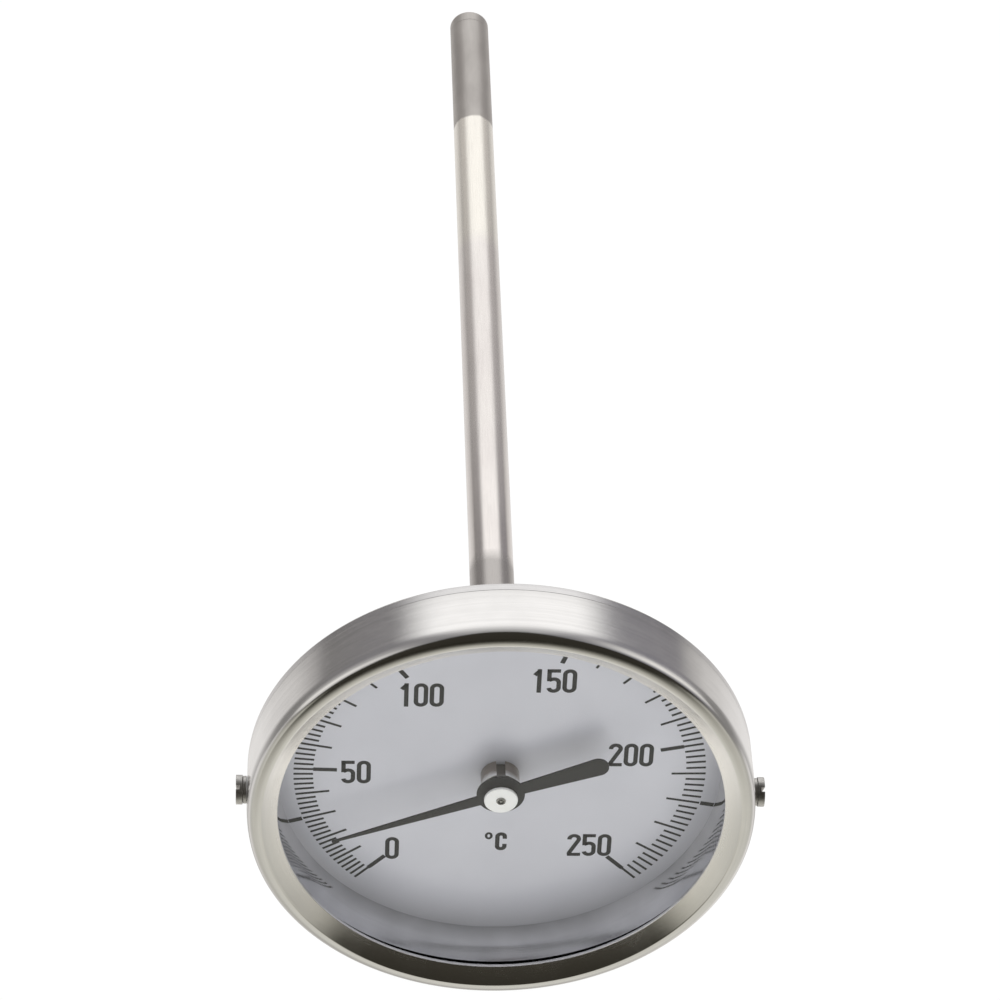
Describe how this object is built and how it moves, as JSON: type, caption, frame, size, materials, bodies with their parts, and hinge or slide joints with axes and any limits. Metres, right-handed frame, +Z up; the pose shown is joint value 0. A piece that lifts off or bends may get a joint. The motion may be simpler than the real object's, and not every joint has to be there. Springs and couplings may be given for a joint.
{
  "type": "dial thermometer",
  "caption": "Round bimetal dial thermometer with a slip-on steel bezel, a black pointer over a printed dial and a long plain round stem at the back.",
  "frame": {"origin": "centre of the flat end of the stem's tip, on the axis of stem, spindle and pointer", "axes": "+Z up towards 12 o'clock on the dial, +X right, the dial faces -Y and the stem runs along +Y"},
  "size_m": [0.1124, 0.2956, 0.1078],
  "materials": {
    "case_steel": "satin stainless steel",
    "bezel_steel": "fine turned stainless steel, bright",
    "stem_steel": "drawn stainless tube, fine lengthwise lines",
    "tip_steel": "duller satin stainless steel",
    "screw_steel": "plain machined steel",
    "polished_steel": "polished inner wall",
    "spindle_steel": "ground steel",
    "bush_metal": "nickel-plated brass",
    "brass": "turned brass",
    "bimetal": "rolled bimetal strip, slightly golden",
    "gasket_rubber": "matte black rubber",
    "window_glass": "clear flat instrument glass",
    "dial_white": "matte pale grey-white print ground with black markings",
    "pointer_black": "satin black enamel",
    "cap_silver": "bright turned aluminium"
  },
  "bodies": {
    "housing": {"case_cup": "case_steel", "bezel_ring": "bezel_steel", "bezel_washer_left": "screw_steel", "bezel_washer_right": "screw_steel", "bezel_screw_left": "screw_steel", "bezel_screw_right": "screw_steel", "front_window_gasket": "gasket_rubber", "rear_window_gasket": "gasket_rubber", "boss_gasket": "gasket_rubber", "window_glass": "window_glass", "distance_ring": "polished_steel", "dial_plate": "dial_white", "dial_bush": "bush_metal", "dial_bush_ring": "screw_steel", "stem_boss": "stem_steel", "boss_lock_nut": "screw_steel", "stem_tube": "stem_steel", "stem_tip_plug": "tip_steel", "bimetal_helix": "bimetal", "helix_anchor": "screw_steel", "guide_bush_upper": "brass", "guide_bush_middle": "brass", "guide_bush_lower": "brass"},
    "pointer": {"pointer_blade": "pointer_black", "pointer_hub": "spindle_steel", "pointer_cap": "cap_silver", "spindle": "spindle_steel", "helix_coupling": "brass"}
  },
  "joints": [
    {"name": "pointer_spin", "type": "hinge", "parent": "housing", "child": "pointer", "pos_m": [0, -0.2795, 0], "axis": [0, 1, 0], "range_deg": [-23.7, 248.1], "deforming": ["bimetal_helix"]}
  ]
}
